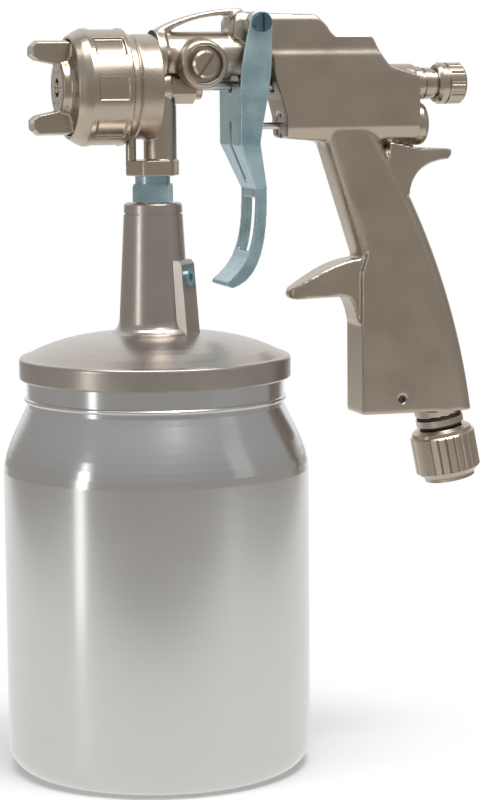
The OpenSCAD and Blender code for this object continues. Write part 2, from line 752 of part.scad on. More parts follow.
module fluid_knob() {
    l = fluid_knob_l;
    skirt = 2;
    color("tan") gun_frame() difference() {
        union() {
            along_x(knob_x) difference() {
                union() {
                    cylinder(r1 = fluid_knob_r - 0.8, r2 = fluid_knob_r, h = 1.2);
                    translate([0, 0, 1.2]) cylinder(r = fluid_knob_r, h = l - 2.4);
                    translate([0, 0, l - 1.2])
                        cylinder(r1 = fluid_knob_r, r2 = fluid_knob_r - 1.2, h = 1.2);
                }
                // Flutes cut round the knob's rear half
                for (i = [0:flute_n - 1]) rotate([0, 0, i * 360 / flute_n])
                    translate([fluid_knob_r + 0.55, 0, l * 0.42]) cylinder(r = 1.05, h = l);
                translate([0, 0, l * 0.3]) pipe(fluid_knob_r + 1, fluid_knob_r - 0.5, 0.8);
            }
            along_x(knob_tip_x) cylinder(r = bush_bore_r, h = knob_x + 2 - knob_tip_x);
        }
        // The knob's skirt runs over the end of the bush
        along_x(knob_x - past) pipe(neck_r + free_gap, bush_bore_r, skirt + past);
        along_x(knob_tip_x - past) cylinder(r = needle_r + 0.3, h = 8);
    }
}

// Side view of the body, behind the barrel
body_side = concat(
    [[27.2, 16.5]], bend([27.2, 21], [27.6, 24], [29, 26.2], [33, 25], 6),
    [[57, 24.2], [60.5, 20.8], [62.7, 17.6], [63.6, 16.8], [77, 16.7]],
    bend([77.6, 16.5], [79, 14.5], [79.6, 10.6], [83.9, 6.4], 5),
    [[body_end, 3], [body_end, -20.7], [66, -21.4], [57.8, -19.4], [valve_front + 0.6, -18.4],
     [valve_front, -17.6], [valve_front, -11.5], [44.4, -5], [42.6, 0.1], [41.4, 4], [41, 10]]);

// Cross section of the body behind the barrel, right half, from the bottom up
body_half = [[flank_w - 6, -22], [flank_w - 1.9, -18.6], [flank_w, -14.5], [flank_w, 10.2],
             [crest_w, 12.4], [crest_w, 22.6], [crest_w - 1.6, 25.4], [crest_w - 4, 27]];

// An outline across the gun, drawn in Y and Z, run along X
module cross_plate(x, length) {
    translate([x, 0, 0]) rotate([90, 0, 90]) linear_extrude(length) children();
}
// A closed outline from its right half
module both_halves(half) {
    n = len(half);
    polygon(concat(half, [for (i = [n - 1:-1:0]) [-half[i][0], half[i][1]]]));
}
// A plan view, drawn in X and half of Y, as a tall block that trims a side view
module plan_block(half, low, high) {
    translate([0, 0, low]) linear_extrude(high - low)
        polygon(concat(half, [for (i = [len(half) - 1:-1:0]) [half[i][0], -half[i][1]]]));
}

module body_block() {
    intersection() {
        side_plate(2 * flank_w + 1) polygon(body_side);
        cross_plate(20, 80) both_halves(body_half);
    }
}

module barrel() {
    along_x(gasket_sheet, barrel_up) cylinder(r = barrel_r, h = 45);
    along_x(gasket_sheet, barrel_up) cylinder(r = barrel_r + 0.9, h = 3.4);
    along_left(side_x, -3, side_up) cylinder(r = side_boss_r, h = side_boss_y - 3);
    along_left(side_x, -3, side_up) cylinder(r = side_boss_r - 0.8, h = side_boss_y - 2.2);
    along_x(housing_x) cylinder(r = housing_r, h = body_end - housing_x);
    along_left(pivot_x, ear_y, pivot_up) cylinder(r = eye_r - 0.2, h = 2 * ear_y);
}

module hanging_loop() {
    top = bend([gasket_sheet, 18.6], [7, 22.8], [17, 26], [31, 26.6]);
    under = bend([27.2, 24.2], [18, 24.1], [10.5, 22.2], [3.6, 17.6]);
    side_plate(loop_w) polygon(concat([[gasket_sheet, 17]], top,
                                      [[33, 24], [33, 18], [27.2, 18]], under));
}

// A bent bar with a rounded back, whose back edge is the arc of the grip's back
module grip_bar() {
    half = grip_t / 2;
    r = back_round;
    translate([grip_cx, 0, grip_cz]) rotate([90, 0, 0]) rotate_extrude() {
        translate([grip_arc_r - 50, -half]) square([50 - r, 2 * half]);
        translate([grip_arc_r - 50, r - half]) square([50, 2 * (half - r)]);
        for (side = [-1, 1]) translate([grip_arc_r - r, side * (half - r)]) circle(r = r);
    }
}

// The upper half of the grip, whose front edge is well rounded
module grip_upper() {
    wide = grip_t / 2 + 0.15;
    deep = 60;
    r = grip_round;
    intersection() {
        grip_bar();
        translate([61.3, 0, -22.6]) rotate([0, 180 - front_lean, 0]) translate([0, 0, -12])
            linear_extrude(54) {
                translate([-deep, -wide]) square([deep - r, 2 * wide]);
                translate([-deep, r - wide]) square([deep, 2 * (wide - r)]);
                for (side = [-1, 1]) translate([-r, side * (wide - r)]) circle(r = r);
            }
    }
}

// The lower half, with a square front edge
module grip_lower() {
    intersection() {
        grip_bar();
        side_plate(grip_t) polygon([[73.4, foot_z], [73.4, -66], [76, -58], [104, -50],
                                    [125, -90], [125, foot_z]]);
    }
}

module finger_spur() {
    w = spur_w / 2;
    intersection() {
        side_plate(spur_w) polygon(concat(
            [[80, -60.2]], bend([75.5, -60.7], [66, -60.5], [58, -66], [49.6, -70.6]),
            bend([48.8, -71.2], [47.6, -72.6], [48.2, -74.4], [50.1, -74.7], 4),
            [[60, -74.2]], bend([66, -73.9], [71, -73.9], [71, -77], [72.6, -83.4], 5), [[80, -84]]));
        plan_block(concat([[48, 0], [48.3, 1.8]],
                          bend([49.4, w * 0.55], [54, w * 0.9], [60, w], [70, w], 5),
                          [[81, w]]), -90, -55);
    }
}

module rear_tang() {
    w = grip_t / 2 - 0.4;
    intersection() {
        side_plate(grip_t) polygon(concat(
            [[84, -20], [95, -22.4], [109.4, -23], [110, -23.8], [109.4, -25.2]],
            bend([107.6, -26.6], [101, -26.8], [92, -28], [91.2, -39], 7), [[84, -42]]));
        plan_block(concat([[83, w], [93, w]],
                          bend([95, w], [103, w - 1], [108, w - 3.4], [110.2, 0.5], 5)), -45, -15);
    }
}

module gun_casting() {
    barrel();
    hanging_loop();
    body_block();
    grip_upper();
    grip_lower();
    finger_spur();
    rear_tang();
    inlet_frame() translate([0, 0, -5]) cylinder(r = inlet_neck_r, h = 5 + inlet_boss_l);
}

// Everything that is drilled out of the casting
module body_drillings() {
    // Room under the barrel for the head's boss, the packing nut and the needle
    along_x(-past) cylinder(r = pocket_r, h = 20.6);
    along_x(10) cylinder(r = needle_r + 0.8, h = 35);
    along_x(pull_x - 2.5) cylinder(r = pull_r + 0.4, h = pull_l + 8);
    // Air from the valve up through two risers and along the barrel
    along_x(-past, barrel_up + 2.3) cylinder(r = barrel_bore_r, h = riser_bore_x + 3 + past);
    for (side = [-1, 1]) translate([riser_bore_x, side * riser_bore_y, -valve_down])
        cylinder(r = riser_bore_r, h = valve_down + barrel_up + 2.3);
    at_head_screws(-past) cylinder(r = head_screw_r, h = 7 + past);
    // The needle's way through the body and its spring's housing
    along_x(30) cylinder(r = needle_r + run_gap, h = 50);
    along_x(housing_x - 2) cylinder(r = housing_bore_r, h = 40);
    // The air valve's gland, front chamber and main chamber
    along_x(35, -valve_down) cylinder(r = gland_r + 0.02, h = front_chamber_x - 35);
    along_x(45, -valve_down) cylinder(r = 4, h = 20);
    along_x(seat_x, -valve_down) cylinder(r = chamber_r, h = 50);
    // The grip's air passage and the inlet's thread
    translate([inlet_x, 0, inlet_z]) rotate([0, -grip_lean, 0]) cylinder(r = grip_bore_r, h = grip_bore_l);
    inlet_frame() translate([0, 0, -nipple_thread_l]) cylinder(r = nipple_thread_r + 0.02, h = 20);
    // The pivot, the side valve and its port
    along_left(pivot_x, 30, pivot_up) cylinder(r = pivot_r + run_gap, h = 60);
    along_left(side_x, -side_bore_y, side_up) cylinder(r = side_spindle_r + run_gap, h = 20);
    along_left(side_x, -side_seat_y + 1.4, side_up) cylinder(r = side_spindle_r + 1.1, h = 20);
    along_left(side_x, -side_seat_y, side_up) cylinder(r = side_boss_r - 2.2, h = 20);
    translate([side_x, -4.7, side_up]) cylinder(r = 1.2, h = 5);
    // The plug near the grip's foot
    along_left(grip_plug_x, 3 - grip_t / 2, grip_plug_z) cylinder(r = grip_plug_r + 0.02, h = 10);
}

module gun_body() {
    color("tan") gun_frame() difference() {
        gun_casting();
        body_drillings();
    }
}

module grip_plug() {
    color("dimgray") gun_frame() along_left(grip_plug_x, 3 - grip_t / 2, grip_plug_z) difference() {
        cylinder(r = grip_plug_r, h = 2.7);
        translate([0, 0, 2]) cylinder(r = grip_plug_r * 0.55, h = 2, $fn = 6);
    }
}

// The trigger is two cheeks on the pivot, a web in front, and a narrower curved finger piece.
// This is one of its cheeks.
module cheek(side) {
    side_plate(sheet_t, side * (trigger_w / 2 - sheet_t / 2)) difference() {
        union() {
            polygon(concat(
                [[pivot_x - eye_r, pivot_up], [28.5, 6], [web_x, -3], [web_x, cheek_foot],
                 [34.9, cheek_foot]],
                bend([35, -20], [36, -12], [38.4, -3], [39.1, 4.5], 6),
                [[39.5, 12], [pivot_x + eye_r, pivot_up]]));
            translate([pivot_x, pivot_up]) circle(r = eye_r);
        }
        translate([pivot_x, pivot_up]) circle(r = pivot_r + run_gap);
    }
}

module trigger_web() {
    translate([web_x, -trigger_w / 2, cheek_foot]) difference() {
        cube([sheet_t, trigger_w, -cheek_foot]);
        translate([-past, trigger_w / 2, -cheek_foot]) rotate([0, 90, 0])
            cylinder(r = needle_r + 1, h = 5);
    }
}

// The slanting part, where the trigger narrows from the cheeks to the finger piece
module jog() {
    low = jog_foot - 0.6;
    hull() {
        translate([web_x, -trigger_w / 2, cheek_foot]) cube([sheet_t, trigger_w, 0.6]);
        translate([jog_x, -finger_w / 2, low]) cube([sheet_t, finger_w, 0.6]);
    }
    for (side = [-1, 1]) hull() {
        translate([web_x, (side * (trigger_w - sheet_t) - sheet_t) / 2, cheek_foot])
            cube([7, sheet_t, 0.6]);
        translate([jog_x, (side * (finger_w - sheet_t) - sheet_t) / 2, low])
            cube([jog_depth, sheet_t, 0.6]);
    }
}

module finger_piece() {
    front = bend([jog_x, jog_foot], [jog_x, -50], [33.6, -60.5], [23.8, -67.2], 12);
    back = bend([25.6, -69.4], [35.6, -67], [38.6, -54], [jog_x + jog_depth, jog_foot], 12);
    difference() {
        side_plate(finger_w) polygon(concat(front, [[23.6, -68.6]], back));
        // The channel behind the web, down to the solid foot
        side_plate(finger_w - 2 * sheet_t) polygon(concat(
            [for (i = [0:9]) front[i] + [sheet_t, 0]],
            [[45, -58], [45, jog_foot + 1], [jog_x + sheet_t, jog_foot + 1]]));
        // The long slot through the front
        side_plate(finger_w - 2 * sheet_t - 1.6)
            polygon([[20, -57], [45, -57], [45, -38.5], [20, -38.5]]);
    }
}

module trigger() {
    color("cadetblue") gun_frame() difference() {
        union() {
            cheek(-1);
            cheek(1);
            trigger_web();
            jog();
            finger_piece();
        }
        translate([20, -slit_w / 2, -33]) cube([30, slit_w, 21]);
    }
}

module pivot_screw() {
    y = pivot_head_y;
    color("darkslategray") gun_frame() difference() {
        union() {
            along_left(pivot_x, y + 2.2, pivot_up) cylinder(r = pivot_r, h = 2 * y + 2.2);
            along_left(pivot_x, -y, pivot_up) cylinder(r = pivot_r + 1.2, h = pivot_head_t);
        }
        translate([pivot_x - 0.5, -y - pivot_head_t - past, pivot_up - 6]) cube([1, 1.9, 12]);
    }
}

module pivot_nut() {
    t = 2.4;
    color("darkslategray") gun_frame() along_left(pivot_x, pivot_head_y + t, pivot_up) difference() {
        cylinder(r = pivot_r + 1.6, h = t, $fn = 6);
        translate([0, 0, -past]) cylinder(r = pivot_r + 0.01, h = 10);
    }
}

module valve_stem() {
    tip = web_x + sheet_t + 0.1;
    back = poppet_x + poppet_l;
    color("dimgray") gun_frame() along_x(0, -valve_down) rotate_extrude()
        polygon([[0, tip], [stem_r - 0.3, tip], [stem_r, tip + 0.3], [stem_r, back], [0, back]]);
}

module valve_poppet() {
    color("goldenrod") gun_frame() along_x(poppet_x, -valve_down) difference() {
        union() {
            cylinder(r1 = 3.4, r2 = 4.6, h = 1.2);
            translate([0, 0, 1.2]) cylinder(r = 4.6, h = 1.4);
            cylinder(r = 3.2, h = poppet_l);
        }
        translate([0, 0, -past]) cylinder(r = stem_r + 0.01, h = 10);
    }
}

module valve_seat() {
    color("white") gun_frame() along_x(seat_x, -valve_down) pipe(chamber_r - 0.02, 2.9, seat_l);
}

module valve_gland() {
    color("gray") gun_frame() along_x(front_chamber_x - gland_l, -valve_down) difference() {
        cylinder(r = gland_r, h = gland_l);
        translate([0, 0, -past]) cylinder(r = stem_r + run_gap, h = 10);
        for (a = [0, 180]) rotate([0, 0, a]) translate([2.8, -0.6, -past]) cube([3, 1.2, 1 + past]);
    }
}

module valve_spring() {
    from = poppet_x + 2.6;
    color("silver") gun_frame() along_x(from, -valve_down)
        coil(valve_spring_r, valve_wire_r, cap_plug_x - from, valve_turns);
}

module valve_cap() {
    r = valve_cap_r;
    end = body_end + valve_cap_l;
    plug = chamber_r - 0.02;
    groove = chamber_r - 0.9;
    color("tan") gun_frame() along_x(0, -valve_down) rotate_extrude() polygon(concat(
        [[0, cap_plug_x], [plug, cap_plug_x], [plug, cap_plug_x + 2.5], [groove, cap_plug_x + 2.5],
         [groove, cap_plug_x + 4], [plug, cap_plug_x + 4], [plug, body_end], [r, body_end],
         [r, end - 2.6]],
        bend([r - 0.1, end - 2], [r - 0.4, end - 0.6], [r - 2, end], [r - 4, end], 5),
        [[0, end]]));
}

module valve_cap_seal() {
    color("black") gun_frame() along_x(cap_plug_x + 2.5, -valve_down)
        pipe(chamber_r - 0.02, chamber_r - 0.9, 1.5);
}

module side_valve_seal() {
    color("black") gun_frame() along_left(side_x, -side_seat_y + 1.4, side_up)
        pipe(side_spindle_r + 1.08, side_spindle_r + run_gap, 1.4);
}

module side_valve_bush() {
    color("darkgray") gun_frame() along_left(side_x, -side_seat_y, side_up)
        pipe(side_boss_r - 2.22, side_spindle_r + run_gap, side_bush_t);
}

module side_valve_knob() {
    from = side_seat_y + side_bush_t + free_gap;
    r = side_knob_r;
    color("tan") gun_frame() difference() {
        union() {
            along_left(side_x, -side_bore_y - 0.4, side_up) cylinder(r = side_spindle_r, h = 9);
            along_left(side_x, -from, side_up) cylinder(r = r, h = 3.4);
            along_left(side_x, -from - 3.4, side_up) cylinder(r1 = r, r2 = r - 0.8, h = 0.8);
        }
        translate([side_x, -from - 4, side_up]) rotate([0, 35, 0])
            translate([-0.6, -1, -10]) cube([1.2, 2.4, 20]);
    }
}

module inlet_nipple() {
    thread = nipple_thread_r;
    shaft = nipple_shaft_r;
    bore = 3.2;
    top = 0.5 - nipple_thread_l;
    z = nipple_flange_z;
    flange_end = z + nipple_flange_l;
    lip_end = nut_z + nut_lip_l;
    color("gainsboro") gun_frame() inlet_frame() rotate_extrude() polygon([
        [bore, top], [thread, top], [thread, z], [inlet_neck_r, z], [inlet_neck_r, flange_end],
        [shaft, flange_end], [shaft, lip_end + free_gap], [shaft + 1.2, lip_end + free_gap],
        [shaft + 1.2, lip_end + 2.6], [shaft - 0.4, lip_end + 4.6], [bore, lip_end + 5.6]]);
}

module inlet_seal_rings() {
    color("black") gun_frame() inlet_frame() {
        translate([0, 0, inlet_boss_l])
            pipe(inlet_neck_r - 0.5, nipple_thread_r + 0.02, nipple_flange_z - inlet_boss_l);
        translate([0, 0, nipple_flange_z + nipple_flange_l])
            pipe(inlet_neck_r - 0.9, nipple_shaft_r + 0.02, 1);
    }
}

module swivel_nut() {
    r = swivel_r;
    l = swivel_l;
    bore = inlet_bore_r;
    lip_r = nipple_shaft_r + run_gap;
    thread_z = 10.4;
    color("tan") gun_frame() inlet_frame() translate([0, 0, nut_z]) difference() {
        rotate_extrude() polygon([
            [lip_r, 0], [r - 2.6, 0], [r - 1, 1], [r - 0.6, 2.2], [r, 2.8], [r, l - 3.4],
            [r - 2.6, l - 1], [r - 2.6, l], [bore + 0.6, l], [bore, l - 0.6], [bore, thread_z],
            [bore - 0.2, thread_z], [bore - 0.2, nut_lip_l], [lip_r, nut_lip_l]]);
        for (i = [0:swivel_groove_n - 1]) rotate([0, 0, i * 360 / swivel_groove_n])
            translate([r + 0.25, 0, 2.4]) rotate([0, 0, 45]) cube([1, 1, 2 * (l - 6)], center = true);
    }
}

gun_body();
fluid_head();
head_gasket();
head_screws();
fluid_nozzle();
air_baffle();
air_cap();
cap_ring();
packing_seal();
packing_nut();
fluid_needle();
pull_collar();
needle_spring_seat();
needle_spring();
needle_housing_bush();
fluid_knob();
trigger();
pivot_screw();
pivot_nut();
valve_stem();
valve_poppet();
valve_seat();
valve_gland();
valve_spring();
valve_cap();
valve_cap_seal();
side_valve_bush();
side_valve_seal();
side_valve_knob();
inlet_nipple();
inlet_seal_rings();
swivel_nut();
grip_plug();
feed_tube();
coupling_nut();
tube_ferrule();
pickup_tube();
cup_lid();
lid_gasket();
check_valve_plug();
check_valve_disc();
cup();
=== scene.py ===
# %% [markdown]
# # A cup-fed spray gun: cast nickel, folded zinc and spun aluminium
#
# The gun is a casting with a dull nickel skin. Turned nickel pieces are screwed into it, a folded
# zinc trigger hangs on it, and a spun aluminium cup hangs below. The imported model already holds
# every piece at its real size, so this lesson is about surfaces: how a cast edge is rounded, how
# turned and spun metal catch the light, and how a studio has to look for metal to look like metal.

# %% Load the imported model
import json
import math
import bpy
import bmesh
from mathutils import Matrix, Vector


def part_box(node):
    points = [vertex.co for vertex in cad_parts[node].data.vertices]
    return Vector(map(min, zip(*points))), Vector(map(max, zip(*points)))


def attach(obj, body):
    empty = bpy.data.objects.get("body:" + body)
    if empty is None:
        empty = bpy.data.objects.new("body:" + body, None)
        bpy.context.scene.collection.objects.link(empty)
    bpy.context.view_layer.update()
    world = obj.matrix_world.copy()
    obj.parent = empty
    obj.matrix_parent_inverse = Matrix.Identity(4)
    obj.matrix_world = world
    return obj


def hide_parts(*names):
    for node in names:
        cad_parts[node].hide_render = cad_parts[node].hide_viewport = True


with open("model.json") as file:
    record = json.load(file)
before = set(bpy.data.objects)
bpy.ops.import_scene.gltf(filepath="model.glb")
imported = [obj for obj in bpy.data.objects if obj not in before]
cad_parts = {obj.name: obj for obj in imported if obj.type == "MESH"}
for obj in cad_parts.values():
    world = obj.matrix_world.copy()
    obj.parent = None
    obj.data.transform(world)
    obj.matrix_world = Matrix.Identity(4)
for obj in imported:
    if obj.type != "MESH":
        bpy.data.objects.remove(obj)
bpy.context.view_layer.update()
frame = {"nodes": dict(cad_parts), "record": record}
nodes = frame["nodes"]


# %% [markdown]
# ## Where things are
#
# The cup's axis is the frame's own Z axis. The other axes that a finish turns about are read back
# from the nodes, so that a change of the model moves the looks with it.

# %% Read the needle's axis from the nodes
MM = 0.001


def centre(node):
    """The middle of a node's box."""
    low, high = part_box(node)
    return (low + high) / 2


needle_z = centre("cap_ring").z
print("needle axis at", round(needle_z, 4))


# %% [markdown]
# ## The camera
#
# The camera stands to the gun's left, a little above the cup's rim and a little in front. A long
# lens keeps the cup's bottom nearly flat. The camera is placed by its aim point, its distance, and
# its turn, tilt and roll about that point. The lamps are placed by the same turn and tilt later on.

# %% Place the camera
AIM = Vector((32.8, 6.9, 126.0)) * MM
DISTANCE = 947 * MM
TURN = math.radians(-17)
TILT = math.radians(7.312)
ROLL = math.radians(0.511)
LENS_MM = 120.49
SENSOR_MM = 36


def outwards(turn, tilt):
    """The direction away from the gun at a turn from its left side and a tilt, in radians."""
    return Vector((math.sin(turn) * math.cos(tilt), -math.cos(turn) * math.cos(tilt),
                   math.sin(tilt)))


def make_camera():
    back = outwards(TURN, TILT)
    right = Vector((math.cos(TURN), math.sin(TURN), 0))
    up = back.cross(right)
    rolled_right = right * math.cos(ROLL) - up * math.sin(ROLL)
    rolled_up = right * math.sin(ROLL) + up * math.cos(ROLL)
    data = bpy.data.cameras.new("camera")
    data.sensor_width = SENSOR_MM
    data.lens = LENS_MM
    data.dof.use_dof = False
    camera = bpy.data.objects.new("camera", data)
    turn = Matrix((rolled_right, rolled_up, back)).transposed().to_4x4()
    camera.matrix_world = Matrix.Translation(AIM + back * DISTANCE) @ turn
    bpy.context.scene.collection.objects.link(camera)
    bpy.context.scene.camera = camera
    print("camera at", [round(v, 4) for v in camera.matrix_world.translation])


make_camera()
bpy.context.scene.view_settings.view_transform = "Standard"


# %% [markdown]
# ## Building with shader nodes
#
# A material is a graph. Small helpers keep the graphs readable: one adds a node and sets its
# sockets, one makes an empty material that already has its Principled shader, and two more make a
# node group and place it in a material.

# %% Helpers for shader graphs
def add_node(tree, kind, values=None, **settings):
    """A new node, with settings on the node and values on its input sockets."""
    made = tree.nodes.new(kind)
    for name, value in settings.items():
        setattr(made, name, value)
    for name, value in (values or {}).items():
        made.inputs[name].default_value = value
    return made


def new_material(name, **values):
    """A node material, and its tree, shader and Object coordinates."""
    material = bpy.data.materials.new(name)
    material.use_nodes = True
    tree = material.node_tree
    shader = tree.nodes["Principled BSDF"]
    for socket, value in values.items():
        shader.inputs[socket.replace("_", " ")].default_value = value
    coordinates = add_node(tree, "ShaderNodeTexCoord").outputs["Object"]
    return material, tree, shader, coordinates


def new_group(name, inputs, outputs):
    """A shader node group with named sockets. Inputs are name: (type, default)."""
    group = bpy.data.node_groups.new(name, "ShaderNodeTree")
    for socket, (kind, value) in inputs.items():
        made = group.interface.new_socket(name=socket, in_out="INPUT", socket_type=kind)
        if value is not None:
            made.default_value = value
    for socket, kind in outputs.items():
        group.interface.new_socket(name=socket, in_out="OUTPUT", socket_type=kind)
    return group, group.nodes.new("NodeGroupInput"), group.nodes.new("NodeGroupOutput")


def use_group(tree, group, coordinates, **values):
    """A group placed in a material, with its own values."""
    made = add_node(tree, "ShaderNodeGroup")
    made.node_tree = group
    tree.links.new(coordinates, made.inputs["Vector"])
    for socket, value in values.items():
        made.inputs[socket.replace("_", " ")].default_value = value
    return made


FLOAT = "NodeSocketFloat"
VECTOR = "NodeSocketVector"
COLOUR = "NodeSocketColor"
WHITE = (1, 1, 1, 1)


# %% [markdown]
# ## Metal grain, shared by every metal
#
# Plated metal is never one flat tone. Its plating is a little thicker here and thinner there, its
# roughness drifts, and its surface has fine grain. The group mixes two colours by a soft cloud,
# drifts the roughness by the same cloud, and raises a fine grain for the normal.

# %% The grain group
GRAIN_HEIGHT = 0.2 * MM


def build_grain():
    group, given, out = new_group(
        "metal_grain",
        {"Vector": (VECTOR, None), "Cloud Scale": (FLOAT, 40.0), "Grain Scale": (FLOAT, 1500.0),
         "Tone A": (COLOUR, (0.5, 0.5, 0.5, 1)), "Tone B": (COLOUR, (0.6, 0.6, 0.6, 1)),
         "Rough Low": (FLOAT, 0.25), "Rough High": (FLOAT, 0.35), "Grain Depth": (FLOAT, 0.1)},
        {"Color": COLOUR, "Roughness": FLOAT, "Normal": VECTOR})
    link = group.links.new
    cloud = add_node(group, "ShaderNodeTexNoise", {"Detail": 2.0, "Roughness": 0.5})
    link(given.outputs["Vector"], cloud.inputs["Vector"])
    link(given.outputs["Cloud Scale"], cloud.inputs["Scale"])
    soft = add_node(group, "ShaderNodeMapRange", {"From Min": 0.25, "From Max": 0.75})
    link(cloud.outputs["Fac"], soft.inputs["Value"])
    tone = add_node(group, "ShaderNodeMix", data_type="RGBA")
    link(soft.outputs["Result"], tone.inputs["Factor"])
    link(given.outputs["Tone A"], tone.inputs["A"])
    link(given.outputs["Tone B"], tone.inputs["B"])
    rough = add_node(group, "ShaderNodeMapRange")
    link(soft.outputs["Result"], rough.inputs["Value"])
    link(given.outputs["Rough Low"], rough.inputs["To Min"])
    link(given.outputs["Rough High"], rough.inputs["To Max"])
    grain = add_node(group, "ShaderNodeTexNoise", {"Detail": 3.0, "Roughness": 0.55})
    link(given.outputs["Vector"], grain.inputs["Vector"])
    link(given.outputs["Grain Scale"], grain.inputs["Scale"])
    bump = add_node(group, "ShaderNodeBump", {"Distance": GRAIN_HEIGHT})
    link(grain.outputs["Fac"], bump.inputs["Height"])
    link(given.outputs["Grain Depth"], bump.inputs["Strength"])
    link(tone.outputs["Result"], out.inputs["Color"])
    link(rough.outputs["Result"], out.inputs["Roughness"])
    link(bump.outputs["Normal"], out.inputs["Normal"])
    return group


grain_group = build_grain()
print("group:", grain_group.name)


# %% [markdown]
# ## Edges that wear, and painted shade in the corners
#
# On a casting the plating is polished on raised edges. The corners get painted shade: they are
# darkened in the colour where light reaches less. Cycles knows how pointed a surface is at each
# vertex. This only works on a dense, even mesh, which the remeshed pieces have. A flat reads 0.5, a
# raised edge more and a corner less. The group turns it into two masks, one for lighter edges and
# one for the painted corner shade, and breaks both up with a noise.

# %% The edge group
EDGE_RANGE = (0.515, 0.57)
CORNER_SHADE_RANGE = (0.485, 0.43)


def build_edges():
    group, given, out = new_group(
        "edge_masks", {"Vector": (VECTOR, None), "Breakup": (FLOAT, 0.3)},
        {"Edge": FLOAT, "Corner": FLOAT})
    link = group.links.new
    point = add_node(group, "ShaderNodeNewGeometry").outputs["Pointiness"]
    noise = add_node(group, "ShaderNodeTexNoise", {"Scale": 260.0, "Detail": 4.0})
    link(given.outputs["Vector"], noise.inputs["Vector"])
    patchy = add_node(group, "ShaderNodeMapRange", {"From Min": 0.35, "From Max": 0.65})
    link(noise.outputs["Fac"], patchy.inputs["Value"])
    keep = add_node(group, "ShaderNodeMix", {"A": 1.0}, data_type="FLOAT")
    link(given.outputs["Breakup"], keep.inputs["Factor"])
    link(patchy.outputs["Result"], keep.inputs["B"])
    # Edge lightens raised edges; Corner marks the hollows that get painted shade.
    for name, (low, high) in (("Edge", EDGE_RANGE), ("Corner", CORNER_SHADE_RANGE)):
        mask = add_node(group, "ShaderNodeMapRange", {"From Min": low, "From Max": high},
                        interpolation_type="SMOOTHSTEP")
        link(point, mask.inputs["Value"])
        broken = add_node(group, "ShaderNodeMath", operation="MULTIPLY")
        link(mask.outputs["Result"], broken.inputs[0])
        link(keep.outputs["Result"], broken.inputs[1])
        link(broken.outputs["Value"], out.inputs[name])
    return group


edge_group = build_edges()
print("group:", edge_group.name)


# %% [markdown]
# ## Cast nickel
#
# The body and the head are aluminium castings, tumbled and then plated with satin nickel, which
# is a warm grey. The plating is dull on the flats and a little brighter on the edges. The corners
# are painted brown-grey as shade.

# %% The cast nickel finish
NICKEL_LIGHT = (0.49, 0.425, 0.352, 1)
NICKEL_DARK = (0.45, 0.385, 0.312, 1)
NICKEL_EDGE = (0.66, 0.60, 0.53, 1)
NICKEL_CORNER_SHADE = (0.16, 0.115, 0.08, 1)


def cast_nickel():
    material, tree, shader, coordinates = new_material("nickel_casting", Metallic=1.0)
    link = tree.links.new
    grain = use_group(tree, grain_group, coordinates, Cloud_Scale=70.0, Grain_Scale=2600.0,
                      Tone_A=NICKEL_DARK, Tone_B=NICKEL_LIGHT, Rough_Low=0.25, Rough_High=0.36,
                      Grain_Depth=0.16)
    edges = use_group(tree, edge_group, coordinates, Breakup=0.35)
    lighter_edges = add_node(tree, "ShaderNodeMix", {"B": NICKEL_EDGE}, data_type="RGBA")
    link(edges.outputs["Edge"], lighter_edges.inputs["Factor"])
    link(grain.outputs["Color"], lighter_edges.inputs["A"])
    # Painted shade: a dark brown-grey mixed into the colour in the corners.
    corner_shade = add_node(tree, "ShaderNodeMix", {"B": NICKEL_CORNER_SHADE}, data_type="RGBA")
    link(edges.outputs["Corner"], corner_shade.inputs["Factor"])
    link(lighter_edges.outputs["Result"], corner_shade.inputs["A"])
    link(corner_shade.outputs["Result"], shader.inputs["Base Color"])
    link(grain.outputs["Roughness"], shader.inputs["Roughness"])
    link(grain.outputs["Normal"], shader.inputs["Normal"])
    return material


# %% [markdown]
# ## Turned nickel
#
# The ring, the nuts and the knobs are turned on a lathe before they are plated, and the lathe
# leaves fine rings round the axis. They are bands of noise that depend on the distance along one
# axis and the radius about it, so the same material serves a piece along the barrel and one that
# stands upright.

# %% Lathe rings as a group, and the turned finishes
RING_HEIGHT = 0.1 * MM


def build_lathe():
    group, given, out = new_group(
        "lathe_rings", {"Vector": (VECTOR, None), "Scale": (FLOAT, 4000.0), "Depth": (FLOAT, 0.1),
                        "Normal": (VECTOR, None)}, {"Normal": VECTOR})
    link = group.links.new
    split = add_node(group, "ShaderNodeSeparateXYZ")
    link(given.outputs["Vector"], split.inputs["Vector"])
    flat = add_node(group, "ShaderNodeCombineXYZ")
    link(split.outputs["X"], flat.inputs["X"])
    link(split.outputs["Y"], flat.inputs["Y"])
    radius = add_node(group, "ShaderNodeVectorMath", operation="LENGTH")
    link(flat.outputs["Vector"], radius.inputs[0])
    along = add_node(group, "ShaderNodeMath", operation="ADD")
    link(radius.outputs["Value"], along.inputs[0])
    link(split.outputs["Z"], along.inputs[1])
    lines = add_node(group, "ShaderNodeTexNoise", {"Detail": 2.0, "Roughness": 0.7},
                     noise_dimensions="1D")
    link(along.outputs["Value"], lines.inputs["W"])
    link(given.outputs["Scale"], lines.inputs["Scale"])
    bump = add_node(group, "ShaderNodeBump", {"Distance": RING_HEIGHT})
    link(lines.outputs["Fac"], bump.inputs["Height"])
    link(given.outputs["Depth"], bump.inputs["Strength"])
    link(given.outputs["Normal"], bump.inputs["Normal"])
    link(bump.outputs["Normal"], out.inputs["Normal"])
    return group


lathe_group = build_lathe()
print("group:", lathe_group.name)


